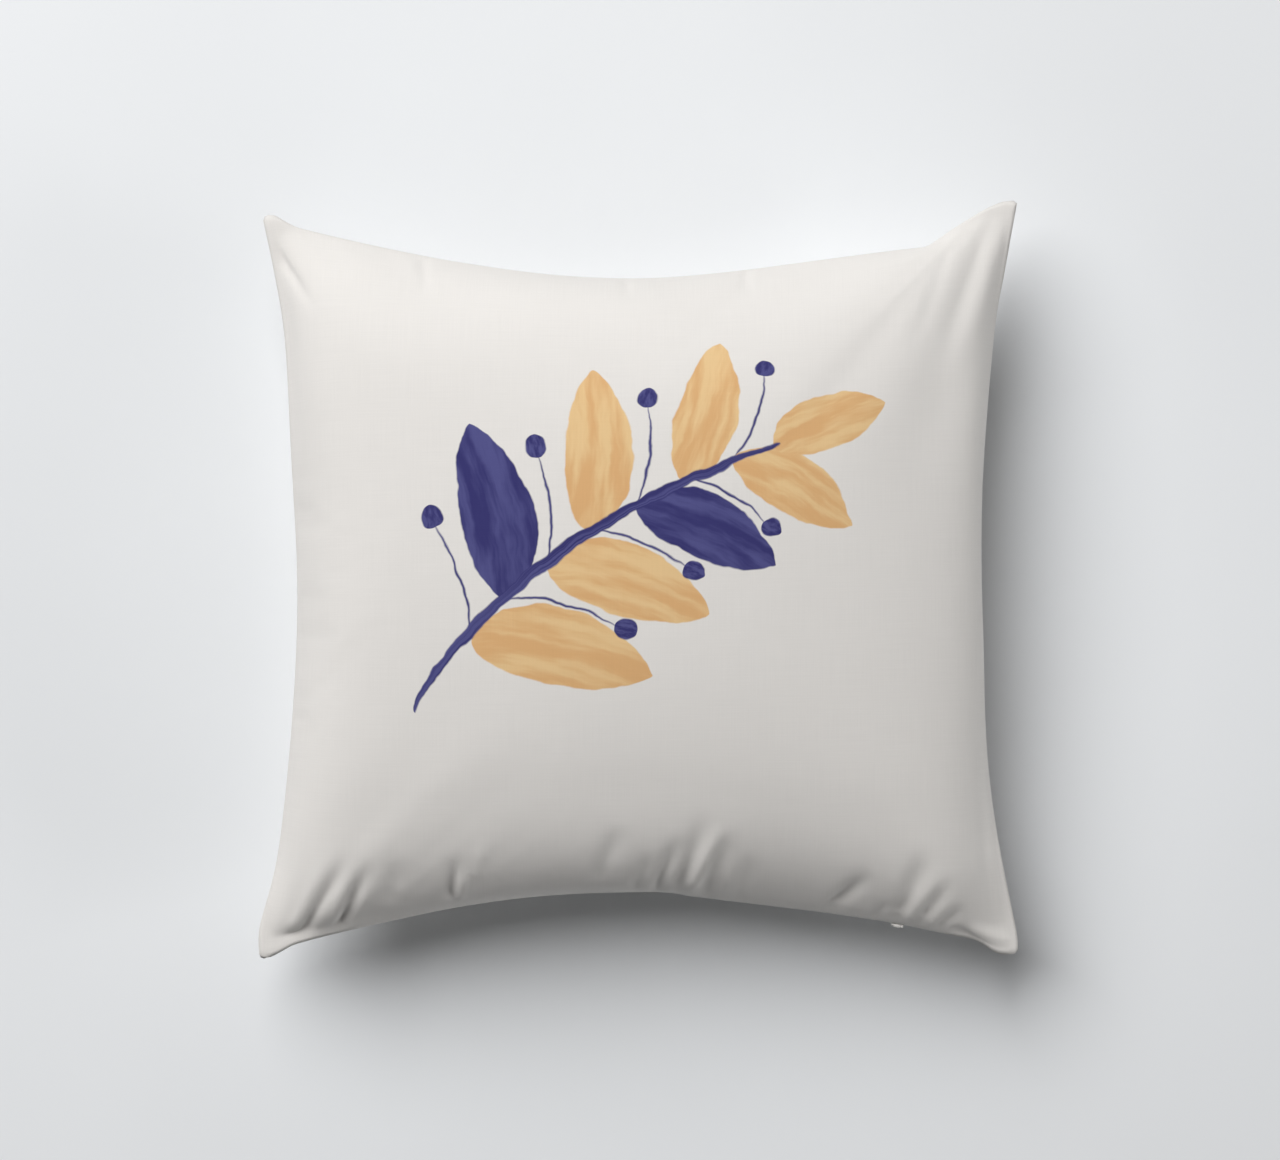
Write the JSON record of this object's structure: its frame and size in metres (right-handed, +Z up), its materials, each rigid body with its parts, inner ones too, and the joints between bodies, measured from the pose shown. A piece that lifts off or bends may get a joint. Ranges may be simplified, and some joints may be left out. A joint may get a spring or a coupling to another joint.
{
  "type": "scatter cushion",
  "caption": "Square scatter cushion with crowned faces, drawn-in edges and pointed corners: a sewn cover with a concealed zip in one seam, round a fibre-filled insert.",
  "frame": {"origin": "on the surface that the cushion lies on, under the middle of its bounding box", "axes": "+Z up from the surface through the printed front, +Y towards the top edge of the print, +X to the right of the print; the zip is in the -Y edge"},
  "size_m": [0.44, 0.44, 0.135],
  "materials": {
    "cover_cloth": "matt plain weave, off-white, printed in ochre and navy on the front",
    "lining_cloth": "matt non-woven, white",
    "thread": "matt polyester thread, off-white",
    "zip_tape": "matt woven tape, off-white",
    "zip_coil": "matt nylon, off-white",
    "zip_metal": "satin lacquer, off-white",
    "fibre": "loose white polyester fibre"
  },
  "bodies": {
    "cushion": {"front_panel": "cover_cloth", "back_panel": "cover_cloth", "seam_thread": "thread", "zip_tape_front": "zip_tape", "zip_tape_back": "zip_tape", "zip_coil_front": "zip_coil", "zip_coil_back": "zip_coil", "zip_closed_stop": "zip_metal", "zip_open_stop": "zip_metal", "zip_thread": "thread", "insert_front": "lining_cloth", "insert_back": "lining_cloth", "insert_thread": "thread", "filling": "fibre"},
    "slider": {"zip_slider": "zip_metal"},
    "pull": {"zip_pull": "zip_metal"}
  },
  "joints": [
    {"name": "zip_run", "type": "hinge", "parent": "cushion", "child": "slider", "pos_m": [0, -0.805, 0.064], "axis": [0, 0, 1], "range_deg": [0, 27.8]},
    {"name": "pull_swing", "type": "hinge", "parent": "slider", "child": "pull", "pos_m": [0.15015, -0.20026, 0.064], "axis": [-0.9705, 0.241, 0], "range_deg": [0, 180]}
  ]
}
